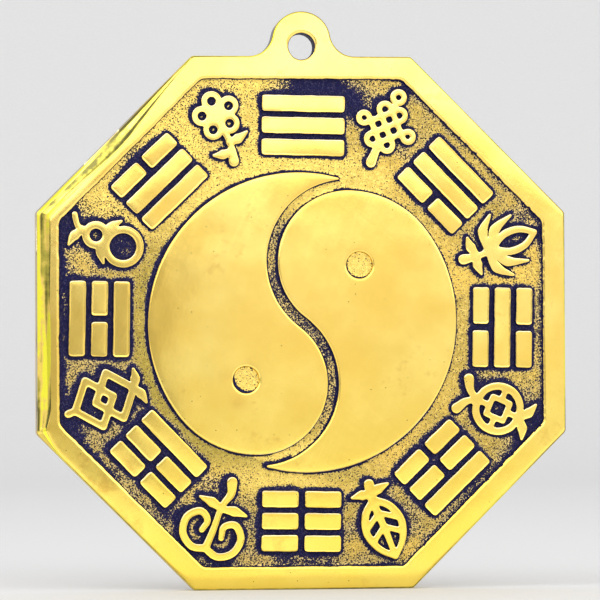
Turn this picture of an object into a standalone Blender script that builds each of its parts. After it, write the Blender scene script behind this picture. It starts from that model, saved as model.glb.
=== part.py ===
"""Bagua wall plaque: an octagonal brass casting with a raised, polished relief.

The plaque hangs on a wall with +Z up and its front towards -Y. The origin lies on the wall plane
at the middle of the hanging hole. Lengths are in metres and angles in degrees.
Outlines are drawn in the plane of the plaque, x to the right and y up as seen from the front,
and a depth is a distance from the wall towards the viewer.
"""

import math

import bmesh
import bpy
from mathutils import Matrix, Vector
from mathutils.geometry import delaunay_2d_cdt

# Cast plate
ACROSS_FLATS = 0.150
PLATE_THICKNESS = 0.0065
RIM_WIDTH = 0.0064
FIELD_DEPTH = 0.0016
PLATE_CORNER_RADIUS = 0.0008
FIELD_CORNER_RADIUS = 0.0020
FIELD_WALL_DRAFT = 0.0003
FRONT_EDGE_ROUND = 0.0006
BACK_EDGE_ROUND = 0.0003

# Hanging lug and its hole
LUG_RADIUS = 0.0083
LUG_RISE = 0.0044
LUG_FILLET_RADIUS = 0.0070
HOLE_RADIUS = 0.00375
HOLE_DROP = 0.0016
HOLE_EDGE_ROUND = 0.0004

# Relief that stands on the field
SEAT_GAP = 0.0003
RELIEF_DRAFT = 0.00015
RELIEF_EDGE_ROUND = 0.00025

# Ring of eight trigrams. A bar's length is a share of the side of the octagon inside the ring
RING_TURN = 1.0
TRIGRAM_MARGIN = 0.0036
BAR_LENGTH_SHARE = 0.569
BAR_WIDTH = 0.0047
BAR_CORNER_RADIUS = 0.0007
LINE_GAP = 0.0015
BREAK_GAP = 0.0017
HAND_DRIFT = 0.0010

# Yin-yang figure in the middle
YIN_YANG_CLEARANCE = 0.0041
HALF_SHIFT_ACROSS = 0.0010
HALF_SHIFT_UP = 0.0005
FIGURE_LEAN = 37.0
HEAD_INSET = 0.0022
CHANNEL_WIDTH = 0.0030
TAIL_TIP_RADIUS = 0.00035
EYE_RADIUS = 0.00375
EYE_ACROSS = 0.0032
EYE_DROP = 0.0011

# Ornaments between the trigrams
ORNAMENT_CORNER_MARGIN = 0.0028
STROKE_WIDTH = 0.0022
FINE_STROKE_WIDTH = 0.0017
BROAD_STROKE_WIDTH = 0.0030
STROKE_TIP_WIDTH = 0.0009
ORNAMENT_CORNER_RADIUS = 0.0004

# Smoothness of round stretches
ROUND_STEP = 6.0
ORNAMENT_STEP = 20.0
COARSE_STEP = 36.0
BAR_CORNER_STEP = 45.0
PATH_STEPS = 3
GENTLE_TURN = 38.0
LEAST_MITRE = 0.5
SMALLEST_EDGE = 0.00015
MERGE_DISTANCE = 0.000001

SOLID = "solid"
BROKEN = "broken"
SIDES = 8
SIDE_ANGLE = 360.0 / SIDES
HALF_SIDE_ANGLE = SIDE_ANGLE / 2

# Place, its lines from the outside in, then how far it drifts clockwise and outward and how much
# longer its lines are, as shares of HAND_DRIFT
TRIGRAM_SHARES = (
    ("top", (SOLID, SOLID, SOLID), -0.6, -1.0, 1.0),
    ("top_right", (SOLID, SOLID, BROKEN), 0.6, -0.2, 0.1),
    ("right", (BROKEN, SOLID, BROKEN), 0.6, 0.5, 0.1),
    ("bottom_right", (SOLID, BROKEN, BROKEN), 0.2, 0.5, -0.2),
    ("bottom", (BROKEN, BROKEN, BROKEN), -0.3, -0.5, 0.0),
    ("bottom_left", (BROKEN, BROKEN, SOLID), 1.0, -0.5, 0.1),
    ("left", (SOLID, BROKEN, SOLID), 0.1, 0.9, -1.3),
    ("top_left", (BROKEN, SOLID, SOLID), -1.5, 0.1, -0.2),
)
LINE_NAMES = ("outer", "middle", "inner")

# Levels and radii that follow from the sizes above
FLOOR_DEPTH = PLATE_THICKNESS - FIELD_DEPTH
RELIEF_FOOT_DEPTH = FLOOR_DEPTH + SEAT_GAP
PLATE_APOTHEM = ACROSS_FLATS / 2
FIELD_APOTHEM = PLATE_APOTHEM - RIM_WIDTH
LUG_CENTRE_HEIGHT = PLATE_APOTHEM + LUG_RISE
HOLE_HEIGHT = LUG_CENTRE_HEIGHT - HOLE_DROP
LINE_PITCH = BAR_WIDTH + LINE_GAP
RING_OUTER = FIELD_APOTHEM - TRIGRAM_MARGIN
RING_INNER = RING_OUTER - BAR_WIDTH - 2 * LINE_PITCH
SIN_HALF = math.sin(math.radians(HALF_SIDE_ANGLE))
COS_HALF = math.cos(math.radians(HALF_SIDE_ANGLE))
BAR_LENGTH = 2 * RING_INNER * SIN_HALF / COS_HALF * BAR_LENGTH_SHARE
YIN_YANG_RADIUS = RING_INNER - YIN_YANG_CLEARANCE - HALF_SHIFT_ACROSS
ORNAMENT_OUTER = FIELD_APOTHEM / COS_HALF - ORNAMENT_CORNER_MARGIN
ORNAMENT_INNER = RING_INNER * COS_HALF + BAR_LENGTH / 2 * SIN_HALF
ORNAMENT_HEIGHT = (ORNAMENT_OUTER + ORNAMENT_INNER) / 2
ORNAMENT_REACH = (ORNAMENT_OUTER - ORNAMENT_INNER) / 2


# Outlines


def polar(radius, angle):
    """The point at this radius and angle, anticlockwise from +x."""
    return Vector((radius * math.cos(math.radians(angle)), radius * math.sin(math.radians(angle))))


def bearing(vector):
    """The angle of a direction, anticlockwise from +x."""
    return math.degrees(math.atan2(vector.y, vector.x))


def arc(centre, radius, start, end, step=ROUND_STEP):
    """Points of an arc from one angle to the other, both ends included."""
    count = max(2, math.ceil(abs(end - start) / step))
    return [centre + polar(radius, start + (end - start) * i / count) for i in range(count + 1)]


def circle(centre, radius, step=ROUND_STEP):
    return arc(centre, radius, 0, 360, step)[:-1]


def upwards(angle, start):
    """The same direction as an angle, as the first one past the start."""
    return start + (angle - start) % 360


def downwards(angle, start):
    """The same direction as an angle, as the first one before the start."""
    return start - (start - angle) % 360


def circles_meet(first, first_radius, second, second_radius, side):
    """Where two circles cross, on the left (side 1) or right (side -1) of the line between centres."""
    between = second - first
    along = (first_radius**2 - second_radius**2 + between.length_squared) / (2 * between.length)
    out = math.sqrt(first_radius**2 - along**2)
    direction = between.normalized()
    return first + direction * along + direction.orthogonal() * out * side


def octagon(apothem, corner_radius):
    """A regular octagon with rounded corners, starting at the left end of its top side."""
    corner = (apothem - corner_radius) / COS_HALF
    points = []
    for side in range(SIDES):
        facing = 90 + HALF_SIDE_ANGLE + SIDE_ANGLE * side
        points += arc(
            polar(corner, facing),
            corner_radius,
            facing - HALF_SIDE_ANGLE,
            facing + HALF_SIDE_ANGLE,
            HALF_SIDE_ANGLE,
        )
    return points


def loop_area(points):
    return sum(a.cross(b) for a, b in zip(points, points[1:] + points[:1])) / 2


def offset_loop(points, distance):
    """The loop moved towards the side on its left, which is where its material lies."""
    moved = []
    for before, point, after in zip(points[-1:] + points[:-1], points, points[1:] + points[:1]):
        arriving = (point - before).normalized()
        leaving = (after - point).normalized()
        inward = arriving.orthogonal() + leaving.orthogonal()
        mitre = max(inward.length_squared / 2, LEAST_MITRE)
        moved.append(point + inward * distance / mitre)
    return moved


def without_short_edges(points, least):
    kept = []
    for point in points:
        if not kept or (point - kept[-1]).length > least:
            kept.append(point)
    if (kept[0] - kept[-1]).length <= least:
        kept.pop()
    return kept


def with_round_corners(points, radius):
    """Each sharp corner of a loop becomes a short curve, and its gentle ones stay."""
    rounded = []
    for before, point, after in zip(points[-1:] + points[:-1], points, points[1:] + points[:1]):
        back, ahead = before - point, after - point
        if back.angle(ahead) > math.radians(180 - GENTLE_TURN):
            rounded.append(point)
            continue
        start = point + back.normalized() * min(radius, back.length / 3)
        end = point + ahead.normalized() * min(radius, ahead.length / 3)
        rounded += [start, (start + point * 2 + end) / 4, end]
    return rounded


def united(shapes):
    """The outlines of some overlapping shapes, as loops with the material on their left. A shape
    that runs anticlockwise adds material, a clockwise one takes it away, and where several overlap
    the last one decides."""
    points, faces = [], []
    for shape in shapes:
        faces.append(list(range(len(points), len(points) + len(shape))))
        points += shape if loop_area(shape) > 0 else shape[::-1]
    adds = [loop_area(shape) > 0 for shape in shapes]
    spots, _, triangles, _, _, origins = delaunay_2d_cdt(points, [], faces, 0, MERGE_DISTANCE)
    edges = set()
    for triangle, origin in zip(triangles, origins):
        if origin and adds[max(origin)]:
            edges.update(zip(triangle, triangle[1:] + triangle[:1]))
    ahead = {start: end for start, end in edges if (end, start) not in edges}
    loops = []
    while ahead:
        start, end = min(ahead.items())
        del ahead[start]
        loop = [spots[start]]
        while end != start:
            loop.append(spots[end])
            end = ahead.pop(end)
        loops.append(loop)
    return loops


# Solids


def ring_of_vertices(bm, points, depth):
    return [bm.verts.new((p.x, -depth, p.y)) for p in points]


def add_wall(bm, lower, upper):
    for i in range(len(lower)):
        bm.faces.new((lower[i - 1], lower[i], upper[i], upper[i - 1]))


def add_cap(bm, rings):
    """A flat face inside the first ring and outside the others."""
    edges = [bm.edges.get((ring[i - 1], ring[i])) for ring in rings for i in range(len(ring))]
    bmesh.ops.triangle_fill(bm, use_beauty=True, edges=edges, normal=(0, -1, 0))


def add_walls(bm, loop, profile):
    """Walls round a loop. The profile lists how far in and how deep each of its rings lies, and
    the first and last ring come back."""
    rings = [ring_of_vertices(bm, offset_loop(loop, inset), depth) for inset, depth in profile]
    for lower, upper in zip(rings, rings[1:]):
        add_wall(bm, lower, upper)
    return rings[0], rings[-1]


def mesh_from(bm, name, finish):
    bmesh.ops.recalc_face_normals(bm, faces=bm.faces)
    mesh = bpy.data.meshes.new(name)
    bm.to_mesh(mesh)
    bm.free()
    mesh.materials.append(finish)
    mesh.shade_smooth()
    mesh.set_sharp_from_angle(angle=math.radians(COARSE_STEP))
    return mesh


def relief_mesh(name, loops, finish, draft=0):
    """A raised shape with softened edges, from its seat on the field up to the rim's level."""
    profile = (
        (-draft, RELIEF_FOOT_DEPTH),
        (0, PLATE_THICKNESS - RELIEF_EDGE_ROUND),
        (RELIEF_EDGE_ROUND, PLATE_THICKNESS),
    )
    bm = bmesh.new()
    ends = [add_walls(bm, loop, profile) for loop in loops]
    add_cap(bm, [foot for foot, face in ends])
    add_cap(bm, [face for foot, face in ends])
    return mesh_from(bm, name, finish)


def brass(name, colour, roughness):
    material = bpy.data.materials.new(name)
    material.use_nodes = True
    shader = material.node_tree.nodes["Principled BSDF"]
    shader.inputs["Base Color"].default_value = (*colour, 1)
    shader.inputs["Metallic"].default_value = 1
    shader.inputs["Roughness"].default_value = roughness
    return material


# Cast plate with its rim, its sunk field and its lug


def plate_outline():
    """The octagon with the lug standing on its top side, anticlockwise from the lug's right foot."""
    lug = Vector((0, LUG_CENTRE_HEIGHT))
    reach = LUG_RADIUS + LUG_FILLET_RADIUS
    rise = LUG_FILLET_RADIUS - LUG_RISE
    across = math.sqrt(reach**2 - rise**2)
    right, left = Vector((across, PLATE_APOTHEM)), Vector((-across, PLATE_APOTHEM))
    lift = Vector((0, LUG_FILLET_RADIUS))
    start = bearing(right + lift - lug)
    head = arc(lug, LUG_RADIUS, start, 180 - start)
    right_fillet = arc(right + lift, LUG_FILLET_RADIUS, 270, 180 + start)[:-1]
    left_fillet = arc(left + lift, LUG_FILLET_RADIUS, -start, -90)[1:]
    return right_fillet + head + left_fillet + octagon(PLATE_APOTHEM, PLATE_CORNER_RADIUS)


def cast_plate(finish):
    hole = circle(Vector((0, HOLE_HEIGHT)), HOLE_RADIUS)[::-1]
    field = octagon(FIELD_APOTHEM, FIELD_CORNER_RADIUS)[::-1]
    bm = bmesh.new()
    outer_back, outer_front = add_walls(
        bm,
        plate_outline(),
        (
            (BACK_EDGE_ROUND, 0),
            (0, BACK_EDGE_ROUND),
            (0, PLATE_THICKNESS - FRONT_EDGE_ROUND),
            (FRONT_EDGE_ROUND, PLATE_THICKNESS),
        ),
    )
    hole_back, hole_front = add_walls(
        bm,
        hole,
        (
            (HOLE_EDGE_ROUND, 0),
            (0, HOLE_EDGE_ROUND),
            (0, PLATE_THICKNESS - HOLE_EDGE_ROUND),
            (HOLE_EDGE_ROUND, PLATE_THICKNESS),
        ),
    )
    floor, brim = add_walls(
        bm, field, ((-FIELD_WALL_DRAFT, FLOOR_DEPTH), (0, PLATE_THICKNESS))
    )
    add_cap(bm, [outer_back, hole_back])
    add_cap(bm, [outer_front, hole_front, brim])
    add_cap(bm, [floor])
    return mesh_from(bm, "cast_plate", finish)


# Yin-yang halves


def comma_outline():
    """The right half, anticlockwise from its tail's tip: the outer arc, a blend, the round head and
    the hollow side along the channel."""
    outer_radius = YIN_YANG_RADIUS
    outer = Vector((HALF_SHIFT_ACROSS, HALF_SHIFT_UP))
    lean = polar(1, 90 - FIGURE_LEAN)
    half_channel = CHANNEL_WIDTH / 2
    # The channel's two arcs touch in the middle of the figure, and the head's nearest point to the
    # outer arc lies HEAD_INSET inside it
    room = outer_radius - HEAD_INSET + half_channel
    bend = (room**2 - outer.length_squared) / (2 * (room - outer.dot(lean)))
    head, hollow = lean * bend, lean * -bend
    head_radius = bend - half_channel
    hollow_radius = bend + half_channel

    spread = outer_radius - head_radius
    offset = head - outer
    sink = (spread**2 - offset.length_squared) / (2 * (spread - offset.y))
    blend = head - Vector((0, sink))
    tip = circles_meet(
        outer, outer_radius - TAIL_TIP_RADIUS, hollow, hollow_radius + TAIL_TIP_RADIUS, 1
    )
    tip_outer = downwards(bearing(tip - outer), 0)
    tip_hollow = bearing(tip - hollow)
    blend_start = bearing(blend - outer)
    lean_angle = bearing(lean)

    points = arc(outer, outer_radius, tip_outer, blend_start)
    points += arc(blend, head_radius + sink, blend_start, 90)[1:]
    points += arc(head, head_radius, 90, 180 + lean_angle)[1:]
    points += arc(hollow, hollow_radius, lean_angle, downwards(tip_hollow, lean_angle))
    points += arc(
        tip, TAIL_TIP_RADIUS, 180 + tip_hollow, upwards(tip_outer, 180 + tip_hollow), COARSE_STEP
    )[1:-1]
    eye = head + Vector((EYE_ACROSS, -EYE_DROP))
    return points, circle(eye, EYE_RADIUS)[::-1]


# Ornaments. Their paths and places are shares of ORNAMENT_REACH, from each one's middle

KNOT_PITCH_SHARE = 0.29
KNOT_CORNER_SHARE = 0.13
KNOT_LOOP_SHARES = (0, 0.80)
KNOT_LOOP_RADIUS_SHARE = 0.14
KNOT_STEM_SHARES = ((0, 0.40), (0, 0.66))
KNOT_TASSEL_SHARES = ((0, -0.40), (0, -0.95))

CLOUD_CURL_SHARES = (
    (0, 0.80),
    (0.34, 0.88),
    (0.66, 0.66),
    (0.72, 0.26),
    (0.47, 0.00),
    (0.22, 0.14),
    (0.26, 0.42),
)
CLOUD_STEM_SHARES = ((0, 0.80), (0, 0.30), (0.03, -0.30), (-0.06, -0.66), (0.03, -0.95))
CLOUD_LEAF_SHARES = ((0, -0.24), (0.30, -0.31), (0.62, -0.32))

COIN_CENTRE_SHARES = (0, 0.06)
COIN_RADIUS_SHARE = 0.56
COIN_SQUARE_SHARE = 0.23
COIN_BOW_SHARES = ((0, 0.64), (0.21, 0.81), (0.46, 0.90))
COIN_TAIL_SHARES = ((0, -0.50), (0.14, -0.74), (0.40, -0.90))

LOZENGE_WIDTH_SHARE = 0.60
LOZENGE_HEIGHT_SHARE = 0.50
LOZENGE_SHIFT_SHARE = 0.27
LOZENGE_FINIAL_SHARES = ((0, 0.78), (0, 0.96))
LOZENGE_LEAF_SHARES = ((0, -0.78), (0.20, -0.89), (0.44, -0.93))

GOURD_TOP_SHARES = (0, 0.28)
GOURD_TOP_RADIUS_SHARE = 0.25
GOURD_BOTTOM_SHARES = (0, -0.44)
GOURD_BOTTOM_RADIUS_SHARE = 0.42
GOURD_STEM_SHARES = ((0, 0.60), (0.03, 0.78), (0.26, 0.96))
GOURD_LEAF_SHARES = ((0, 0.62), (-0.22, 0.76), (-0.48, 0.80))
GOURD_SASH_SHARES = ((0, -0.02), (0.32, 0.02), (0.56, -0.16))

BLOSSOM_CENTRE_SHARES = (0, 0.26)
PETAL_COUNT = 5
PETAL_PLACE_SHARE = 0.37
PETAL_RADIUS_SHARE = 0.18
BLOSSOM_STEM_SHARES = ((0, 0.10), (0.05, -0.50), (-0.03, -0.95))
BLOSSOM_LEAF_SHARES = ((0.02, -0.46), (0.28, -0.46), (0.54, -0.38))
BLOSSOM_LOW_LEAF_SHARES = ((0, -0.68), (-0.22, -0.69), (-0.44, -0.63))

LEAF_EDGE_SHARES = ((0, 0.96), (0.32, 0.62), (0.46, 0.18), (0.32, -0.26), (0, -0.54))
LEAF_RIB_SHARES = ((0, 0.90), (0, 0.20), (0.03, -0.54), (-0.04, -0.94))
LEAF_VEINS_SHARES = (((0, -0.20), (0.38, 0.06)), ((0, 0.16), (0.36, 0.42)))
LEAF_RIBBON_SHARES = ((0, -0.66), (0.22, -0.75), (0.48, -0.78))

LOTUS_PETAL_SHARES = ((0, 0.96), (0.21, 0.62), (0.22, 0.20), (0, -0.20))
LOTUS_SIDE_SHARES = ((0.06, -0.20), (0.42, 0.06), (0.60, 0.56))
LOTUS_LOW_SHARES = ((0.04, -0.30), (0.48, -0.24), (0.80, 0.08))
LOTUS_STEM_SHARES = ((0, -0.20), (0.04, -0.56), (-0.02, -0.95))
LOTUS_LEAF_SHARES = ((0, -0.60), (0.24, -0.67), (0.48, -0.66))


def spot(x_share, y_share):
    return Vector((x_share, y_share)) * ORNAMENT_REACH


def smooth_path(points):
    """A smooth curve through some points."""
    padded = [points[0] * 2 - points[1], *points, points[-1] * 2 - points[-2]]
    path = []
    for a, b, c, d in zip(padded, padded[1:], padded[2:], padded[3:]):
        for i in range(PATH_STEPS):
            t = i / PATH_STEPS
            slope = (c - a) * t
            bend = (a * 2 - b * 5 + c * 4 - d) * t**2
            swing = (b * 3 - a - c * 3 + d) * t**3
            path.append(b + (slope + bend + swing) / 2)
    return [*path, points[-1]]


def band(path, widths):
    """A stroke along a path with round ends. Its widths are spread evenly along the path."""
    last = len(path) - 1
    left, right = [], []
    for i, point in enumerate(path):
        along = path[min(i + 1, last)] - path[max(i - 1, 0)]
        whole, part = divmod(i / last * (len(widths) - 1), 1)
        width, following = widths[int(whole)], widths[min(int(whole) + 1, len(widths) - 1)]
        side = along.normalized().orthogonal() * (width + (following - width) * part) / 2
        left.append(point + side)
        right.append(point - side)
    finish = bearing(right[-1] - path[-1])
    start = bearing(left[0] - path[0])
    end_cap = arc(path[-1], widths[-1] / 2, finish, finish + 180, COARSE_STEP)
    start_cap = arc(path[0], widths[0] / 2, start, start + 180, COARSE_STEP)
    return right[1:-1] + end_cap + left[-2:0:-1] + start_cap


def stroke(shares, *widths):
    return band(smooth_path([spot(*share) for share in shares]), widths)


def straight(start, end, width):
    return band([start, end], (width, width))


def disc(centre, radius):
    return circle(centre, radius, ORNAMENT_STEP)


def hoop(centre, radius, width):
    """A round band: a disc, then the opening in it."""
    return [disc(centre, radius + width / 2), disc(centre, radius - width / 2)[::-1]]


def both_sides(shape):
    """The shape and its mirror image, which runs the same way round."""
    return [shape, [Vector((-p.x, p.y)) for p in reversed(shape)]]


def turned(shape, angle):
    turn = Matrix.Rotation(math.radians(angle), 2)
    return [turn @ p for p in shape]


def knot_ornament():
    """An endless knot: three bands crossing three others, joined in pairs by round turns."""
    pitch = ORNAMENT_REACH * KNOT_PITCH_SHARE
    corner = ORNAMENT_REACH * KNOT_CORNER_SHARE
    end = pitch + corner
    bands = []
    for level in (-pitch, 0, pitch):
        across = straight(Vector((-end, level)), Vector((end, level)), FINE_STROKE_WIDTH)
        bands += [across, turned(across, 90)]
    side_turn = arc(Vector((end, pitch / 2)), pitch / 2, -90, 90, ORNAMENT_STEP)
    top_turn = [Vector((p.y, p.x)) for p in side_turn]
    corner_turn = arc(Vector((end, -end)), corner, 90, -180, ORNAMENT_STEP)
    for path in (side_turn, top_turn, corner_turn):
        turn = band(path, (FINE_STROKE_WIDTH, FINE_STROKE_WIDTH))
        bands += [turn, turned(turn, 180)]
    loop_radius = ORNAMENT_REACH * KNOT_LOOP_RADIUS_SHARE
    return [
        *[turned(shape, 45) for shape in bands],
        *hoop(spot(*KNOT_LOOP_SHARES), loop_radius, FINE_STROKE_WIDTH),
        stroke(KNOT_STEM_SHARES, FINE_STROKE_WIDTH, FINE_STROKE_WIDTH),
        stroke(KNOT_TASSEL_SHARES, FINE_STROKE_WIDTH, BROAD_STROKE_WIDTH),
    ]


def cloud_ornament():
    """A cloud head with two curls, on a wavy stem with two leaves."""
    curl = stroke(CLOUD_CURL_SHARES, STROKE_WIDTH, STROKE_WIDTH, STROKE_WIDTH, FINE_STROKE_WIDTH)
    leaf = stroke(CLOUD_LEAF_SHARES, FINE_STROKE_WIDTH, BROAD_STROKE_WIDTH, STROKE_TIP_WIDTH)
    stem = stroke(CLOUD_STEM_SHARES, STROKE_WIDTH, FINE_STROKE_WIDTH, BROAD_STROKE_WIDTH)
    return [*both_sides(curl), *both_sides(leaf), stem]


def coin_ornament():
    """A round coin with a square frame round its hole, tied with a ribbon."""
    middle = spot(*COIN_CENTRE_SHARES)
    rim_radius = ORNAMENT_REACH * COIN_RADIUS_SHARE
    half_side = ORNAMENT_REACH * COIN_SQUARE_SHARE
    side = straight(
        Vector((half_side, -half_side)), Vector((half_side, half_side)), FINE_STROKE_WIDTH
    )
    bridge = straight(Vector((half_side, 0)), Vector((rim_radius, 0)), FINE_STROKE_WIDTH)
    frame = [turned(shape, angle) for shape in (side, bridge) for angle in (0, 90, 180, 270)]
    bow = stroke(COIN_BOW_SHARES, FINE_STROKE_WIDTH, BROAD_STROKE_WIDTH, STROKE_TIP_WIDTH)
    tail = stroke(COIN_TAIL_SHARES, FINE_STROKE_WIDTH, STROKE_WIDTH, BROAD_STROKE_WIDTH)
    return [
        *hoop(middle, rim_radius, STROKE_WIDTH),
        *[[middle + p for p in shape] for shape in frame],
        *both_sides(bow),
        *both_sides(tail),
    ]


def lozenge_ornament():
    """Two lozenges that overlap, one above the other."""
    half_width = ORNAMENT_REACH * LOZENGE_WIDTH_SHARE
    half_height = ORNAMENT_REACH * LOZENGE_HEIGHT_SHARE
    shift = ORNAMENT_REACH * LOZENGE_SHIFT_SHARE
    shapes = []
    for middle in (shift, -shift):
        tips = (Vector((0, middle + half_height)), Vector((0, middle - half_height)))
        for tip in tips:
            shapes += both_sides(straight(tip, Vector((half_width, middle)), STROKE_WIDTH))
    finial = stroke(LOZENGE_FINIAL_SHARES, STROKE_WIDTH, STROKE_WIDTH)
    leaf = stroke(LOZENGE_LEAF_SHARES, FINE_STROKE_WIDTH, BROAD_STROKE_WIDTH, STROKE_TIP_WIDTH)
    return [*shapes, finial, *both_sides(leaf)]


def gourd_ornament():
    """A gourd with a leaf on its stem and a sash round its waist."""
    top_radius = ORNAMENT_REACH * GOURD_TOP_RADIUS_SHARE
    bottom_radius = ORNAMENT_REACH * GOURD_BOTTOM_RADIUS_SHARE
    sash = stroke(GOURD_SASH_SHARES, FINE_STROKE_WIDTH, BROAD_STROKE_WIDTH, STROKE_TIP_WIDTH)
    return [
        *hoop(spot(*GOURD_TOP_SHARES), top_radius, STROKE_WIDTH),
        *hoop(spot(*GOURD_BOTTOM_SHARES), bottom_radius, STROKE_WIDTH),
        *both_sides(sash),
        stroke(GOURD_STEM_SHARES, STROKE_WIDTH, FINE_STROKE_WIDTH, FINE_STROKE_WIDTH),
        stroke(GOURD_LEAF_SHARES, FINE_STROKE_WIDTH, BROAD_STROKE_WIDTH, STROKE_TIP_WIDTH),
    ]


def blossom_ornament():
    """A plum blossom of five petals on a stem with two leaves."""
    middle = spot(*BLOSSOM_CENTRE_SHARES)
    radius = ORNAMENT_REACH * PETAL_RADIUS_SHARE
    reach = ORNAMENT_REACH * PETAL_PLACE_SHARE
    petals = [
        hoop(middle + polar(reach, 90 + 360 * i / PETAL_COUNT), radius, FINE_STROKE_WIDTH)
        for i in range(PETAL_COUNT)
    ]
    return [
        stroke(BLOSSOM_STEM_SHARES, STROKE_WIDTH, FINE_STROKE_WIDTH, BROAD_STROKE_WIDTH),
        stroke(BLOSSOM_LEAF_SHARES, FINE_STROKE_WIDTH, BROAD_STROKE_WIDTH, STROKE_TIP_WIDTH),
        stroke(BLOSSOM_LOW_LEAF_SHARES, FINE_STROKE_WIDTH, BROAD_STROKE_WIDTH, STROKE_TIP_WIDTH),
        *[petal for petal, opening in petals],
        *[opening for petal, opening in petals],
        disc(middle, radius),
    ]


def leaf_ornament():
    """A pointed leaf with open fields between its veins, tied with a ribbon."""
    edge = stroke(LEAF_EDGE_SHARES, FINE_STROKE_WIDTH, STROKE_WIDTH, STROKE_WIDTH)
    ribbon = stroke(LEAF_RIBBON_SHARES, FINE_STROKE_WIDTH, BROAD_STROKE_WIDTH, STROKE_TIP_WIDTH)
    shapes = [*both_sides(edge), *both_sides(ribbon)]
    for vein in LEAF_VEINS_SHARES:
        shapes += both_sides(stroke(vein, FINE_STROKE_WIDTH, FINE_STROKE_WIDTH))
    return [*shapes, stroke(LEAF_RIB_SHARES, FINE_STROKE_WIDTH, STROKE_WIDTH, BROAD_STROKE_WIDTH)]


def lotus_ornament():
    """A lotus flower with one open petal between four others, on its stem."""
    petal = stroke(LOTUS_PETAL_SHARES, FINE_STROKE_WIDTH, STROKE_WIDTH, STROKE_WIDTH)
    shapes = both_sides(petal)
    for shares in (LOTUS_SIDE_SHARES, LOTUS_LOW_SHARES, LOTUS_LEAF_SHARES):
        shapes += both_sides(
            stroke(shares, FINE_STROKE_WIDTH, BROAD_STROKE_WIDTH, STROKE_TIP_WIDTH)
        )
    return [*shapes, stroke(LOTUS_STEM_SHARES, STROKE_WIDTH, FINE_STROKE_WIDTH, BROAD_STROKE_WIDTH)]


# Clockwise from the one between the top and the top right trigram
ORNAMENTS = (
    knot_ornament,
    lotus_ornament,
    coin_ornament,
    leaf_ornament,
    cloud_ornament,
    lozenge_ornament,
    gourd_ornament,
    blossom_ornament,
)


# Assembly


def place(name, mesh, parent, at=(0, 0), turn=0):
    """A named piece at a point of its parent's plane, turned clockwise as seen from the front."""
    piece = bpy.data.objects.new(name, mesh)
    piece.location = (at[0], 0, at[1])
    piece.rotation_euler = (0, math.radians(turn), 0)
    piece.parent = parent
    bpy.context.scene.collection.objects.link(piece)
    return piece


def empty(name, parent=None, at=(0, 0), turn=0):
    return place(name, None, parent, at, turn)


def bar_outline(length):
    """A bar with round corners, its length along x."""
    points = []
    for x_side, y_side, start in ((1, -1, -90), (1, 1, 0), (-1, 1, 90), (-1, -1, 180)):
        corner = Vector((length / 2 - BAR_CORNER_RADIUS, BAR_WIDTH / 2 - BAR_CORNER_RADIUS))
        centre = Vector((corner.x * x_side, corner.y * y_side))
        points += arc(centre, BAR_CORNER_RADIUS, start, start + 90, BAR_CORNER_STEP)
    return points


def make_trigram(number, shares, ring, finish):
    """The bars of one trigram round its middle line, each line further in than the last."""
    place_name, lines, clockwise, outward, longer = shares
    length = BAR_LENGTH + longer * HAND_DRIFT
    height = (RING_OUTER + RING_INNER) / 2 + outward * HAND_DRIFT
    turn = number * SIDE_ANGLE
    at = turned([Vector((clockwise * HAND_DRIFT, height))], -turn)[0]
    trigram = empty(f"{place_name}_trigram", ring, at, turn)
    half_length = (length - BREAK_GAP) / 2
    whole = relief_mesh(f"{place_name}_whole_bar", [bar_outline(length)], finish, RELIEF_DRAFT)
    half = relief_mesh(f"{place_name}_half_bar", [bar_outline(half_length)], finish, RELIEF_DRAFT)
    for i, (line, line_name) in enumerate(zip(lines, LINE_NAMES)):
        out = LINE_PITCH * (1 - i)
        name = f"{place_name}_trigram_{line_name}_bar"
        if line == SOLID:
            place(name, whole, trigram, (0, out))
            continue
        across = (half_length + BREAK_GAP) / 2
        place(f"{name}_left", half, trigram, (-across, out))
        place(f"{name}_right", half, trigram, (across, out))


def make_ornament(number, draw, ring, finish):
    """One ornament, midway between its two neighbours of the ring."""
    _, _, before, _, _ = TRIGRAM_SHARES[number]
    _, _, after, _, _ = TRIGRAM_SHARES[(number + 1) % SIDES]
    clockwise = (before + after) / 2 * HAND_DRIFT
    turn = number * SIDE_ANGLE + HALF_SIDE_ANGLE
    at = turned([Vector((clockwise, ORNAMENT_HEIGHT))], -turn)[0]
    loops = [
        with_round_corners(without_short_edges(loop, SMALLEST_EDGE), ORNAMENT_CORNER_RADIUS)
        for loop in united(draw())
    ]
    place(draw.__name__, relief_mesh(draw.__name__, loops, finish), ring, at, turn)


def main():
    for item in list(bpy.data.objects):
        bpy.data.objects.remove(item, do_unlink=True)
    cast = brass("patinated brass", (0.62, 0.44, 0.12), 0.34)
    mirror_polish = brass("mirror polished brass", (0.90, 0.66, 0.20), 0.16)
    bar_polish = brass("polished bar brass", (0.88, 0.64, 0.20), 0.20)
    ornament_polish = brass("polished ornament brass", (0.86, 0.62, 0.19), 0.22)

    plaque = empty("plaque", at=(0, -HOLE_HEIGHT))
    place("cast_plate", cast_plate(cast), plaque)
    outline, eye = comma_outline()
    half = relief_mesh("yin_yang_half", [outline, eye], mirror_polish, RELIEF_DRAFT)
    place("yin_yang_right_half", half, plaque)
    place("yin_yang_left_half", half, plaque, turn=180)
    ring = empty("ring", plaque, turn=RING_TURN)
    for number, shares in enumerate(TRIGRAM_SHARES):
        make_trigram(number, shares, ring, bar_polish)
    for number, draw in enumerate(ORNAMENTS):
        make_ornament(number, draw, ring, ornament_polish)


main()
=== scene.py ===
"""An octagonal brass plaque: cast relief with polished faces and dark patina in its recesses.

Everything is in metres, with +Z up and the front towards -Y. Outlines lie in the plaque's plane as
points (x, z) with the brass on their left, and a depth is a distance from the wall to the viewer.
"""

import math

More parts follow.
